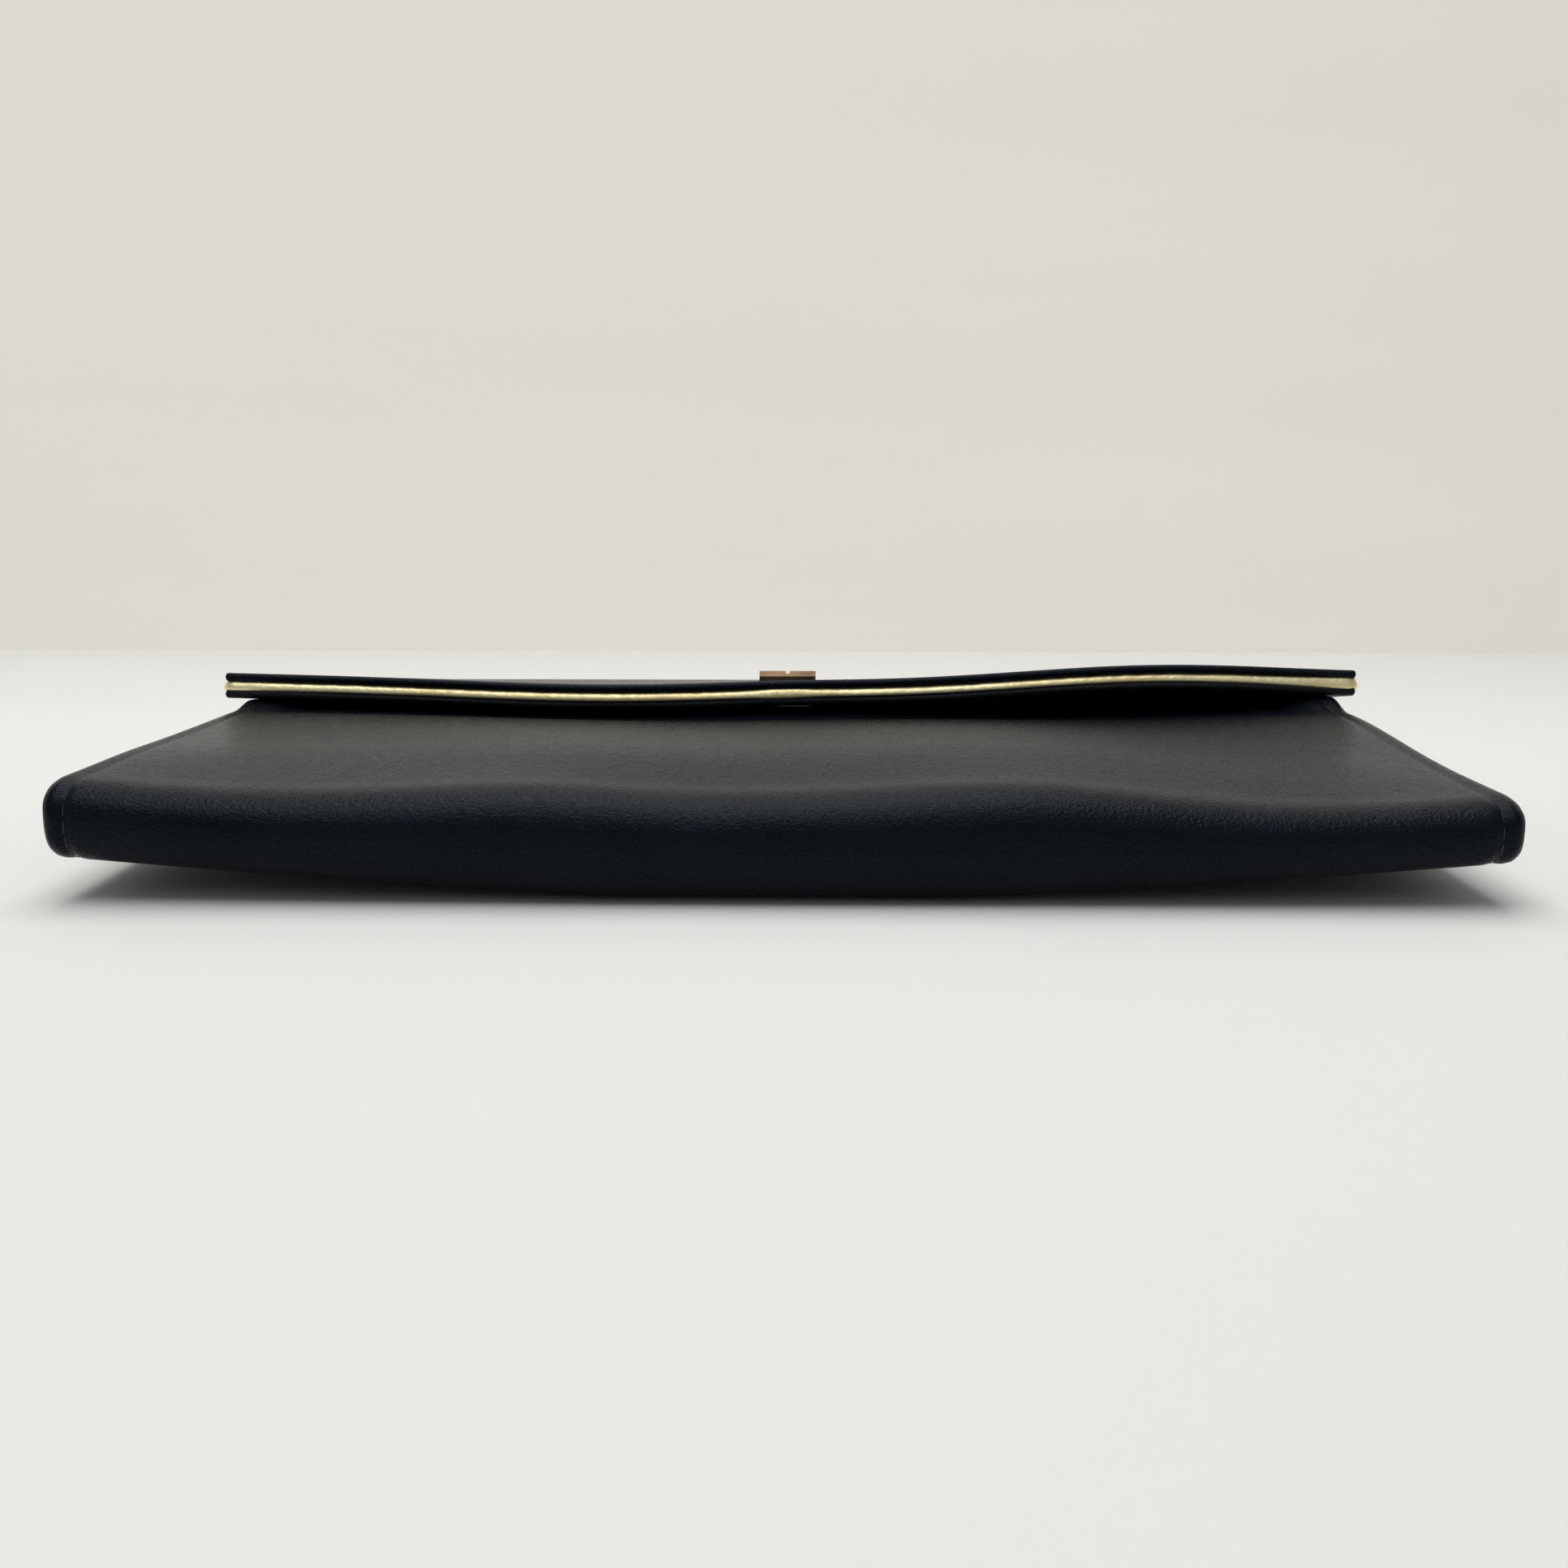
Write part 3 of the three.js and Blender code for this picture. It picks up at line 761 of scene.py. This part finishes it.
def stitch_mesh(name, lines):
    """A row of stitches along each (line, normals) pair: small rounded bars half sunk in the cloth."""
    verts, faces = [], []
    ends = [(-0.5, 0.25), (-0.42, 0.75), (-0.2, 1.0), (0.2, 1.0), (0.42, 0.75), (0.5, 0.25)]
    for line, normal in lines:
        points, along = resample(line, STITCH_SPACING)
        ups, _ = resample(line + normal, STITCH_SPACING)
        for centre, forward, above in zip(points, along, ups[:len(points)]):
            up = above - centre
            up /= max(np.linalg.norm(up), 1e-9)
            across = np.cross(up, forward)
            start = len(verts)
            for share, size in ends:
                for k in range(6):
                    angle = math.pi * k / 3
                    lift = up * math.sin(angle) + across * math.cos(angle)
                    sink = up * (-1.4 * abs(share) * STITCH_R)
                    reach = forward * STITCH_LENGTH * share
                    verts.append(centre + reach + lift * STITCH_R * size + sink)
            for r in range(len(ends) - 1):
                for k in range(6):
                    n = (k + 1) % 6
                    a, b = start + r * 6, start + (r + 1) * 6
                    faces.append((a + k, a + n, b + n, b + k))
            faces.append(tuple(start + k for k in range(6))[::-1])
            faces.append(tuple(start + (len(ends) - 1) * 6 + k for k in range(6)))
    return mesh_object(name, verts, faces)


def make_stitching():
    xs = np.array([-STITCH_X - 1, -STITCH_X, -STITCH_X + 1, STITCH_X - 1, STITCH_X, STITCH_X + 1])
    seams = (("front_stitching", FRONT_RUN, blend_mouth), ("back_stitching", BACK_RUN, blend_rear))
    for name, run, blend in seams:
        lines = []
        for group in (slice(0, 3), slice(3, 6)):
            points = grid_points(run, xs[group])
            lines.append((points[1] + grid_normals(points)[1] * 0.02, grid_normals(points)[1]))
        stitches = stitch_mesh(name, lines)
        dress(stitches, THREAD, "satin", None)
        blend(stitches)


HARDWARE = ("clasp_bar", "clasp_backplate",
            "snap_socket", "snap_socket_washer", "snap_stud", "snap_stud_washer")


def make_hardware():
    """The hard pieces keep their CAD shape, with softened edges and real metal."""
    for name in HARDWARE:
        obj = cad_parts[name]
        obj.data.materials.clear()
        obj.data.materials.append(GOLD if name == "clasp_bar" else NICKEL)
        soften = obj.modifiers.new("soften", "BEVEL")
        soften.width = 0.25 * MM
        soften.segments = 3
        soften.limit_method = "ANGLE"
        soften.angle_limit = math.radians(25)
        obj.data.polygons.foreach_set("use_smooth", [True] * len(obj.data.polygons))


# Surroundings
def plain_material(name, low, high, roughness, glow=0.0):
    material, tree, shader = new_material(name)
    mottle = noise(tree, 6, 3)
    paint(tree, shader, mottle, low, high)
    shader.inputs["Roughness"].default_value = roughness
    shader.inputs["Emission Color"].default_value = (*high, 1)
    shader.inputs["Emission Strength"].default_value = glow
    return material


def stage_plane(name, size, place, upright, material):
    bpy.ops.mesh.primitive_plane_add(size=1, location=place)
    plane = bpy.context.object
    plane.name = name
    plane.scale = (size[0], size[1], 1)
    if upright:
        plane.rotation_euler = (math.pi / 2, 0, 0)
    plane.data.materials.append(material)


def area_light(name, place, target, size, power, colour):
    data = bpy.data.lights.new(name, "AREA")
    data.shape = "RECTANGLE"
    data.size, data.size_y = size
    data.energy = power
    data.color = colour
    lamp = bpy.data.objects.new(name, data)
    lamp.location = place
    lamp.rotation_euler = (Vector(target) - Vector(place)).to_track_quat("-Z", "Y").to_euler()
    bpy.context.scene.collection.objects.link(lamp)


def make_stage():
    floor = plain_material("floor", (0.83, 0.82, 0.795), (0.86, 0.85, 0.825), 0.7)
    wall = plain_material("wall", (0.74, 0.71, 0.665), (0.78, 0.745, 0.695), 0.9, 0.3)
    stage_plane("floor", (4.0, 1.2), (0, WALL_Y - 0.6, 0), False, floor)
    stage_plane("wall", (4.0, WALL_HIGH), (0, WALL_Y, WALL_HIGH / 2), True, wall)
    area_light("ceiling", (-0.1, 0.02, 1.2), (0, 0.0, 0), (1.7, 1.0), 15.2, (0.99, 0.99, 0.98))
    area_light("front_fill", (0.3, -1.2, 0.9), (0, 0, 0.05), (1.4, 0.6), 0.9, (0.86, 0.93, 1.0))
    world = bpy.data.worlds.new("soft_room")
    world.use_nodes = True
    world.node_tree.nodes["Background"].inputs["Color"].default_value = (0.9, 0.95, 1.0, 1)
    world.node_tree.nodes["Background"].inputs["Strength"].default_value = 0.2
    bpy.context.scene.world = world


def make_camera():
    data = bpy.data.cameras.new("camera")
    data.sensor_width = 36
    data.lens = 36 * CAMERA_FOCAL
    data.clip_start, data.clip_end = 0.01, 20
    camera = bpy.data.objects.new("camera", data)
    camera.location = (CAMERA_X * MM, (BOTTOM_Y - CAMERA_BACK) * MM, CAMERA_Z * MM)
    camera.rotation_euler = (math.radians(90 - CAMERA_DOWN), 0, math.radians(CAMERA_TURN))
    bpy.context.scene.collection.objects.link(camera)
    bpy.context.scene.camera = camera


make_panel("front_satin", FRONT_RUN, blend_mouth, ("front_cover", "bottom_fold_cover"))
make_panel("back_satin", BACK_RUN, blend_rear, ("back_cover", "top_fold_cover"))
make_flap()
make_gold()
make_lining("back_lining_twill", BACK_RUN, blend_rear, ("back_lining",))
make_lining("front_lining_twill", FRONT_RUN, blend_mouth, ("front_lining", "bottom_lining"))
make_mouth_facing()
make_boards()
make_gussets()
make_pocket()
make_stitching()
make_hardware()
make_stage()
make_camera()
bpy.context.scene.view_settings.view_transform = "Standard"
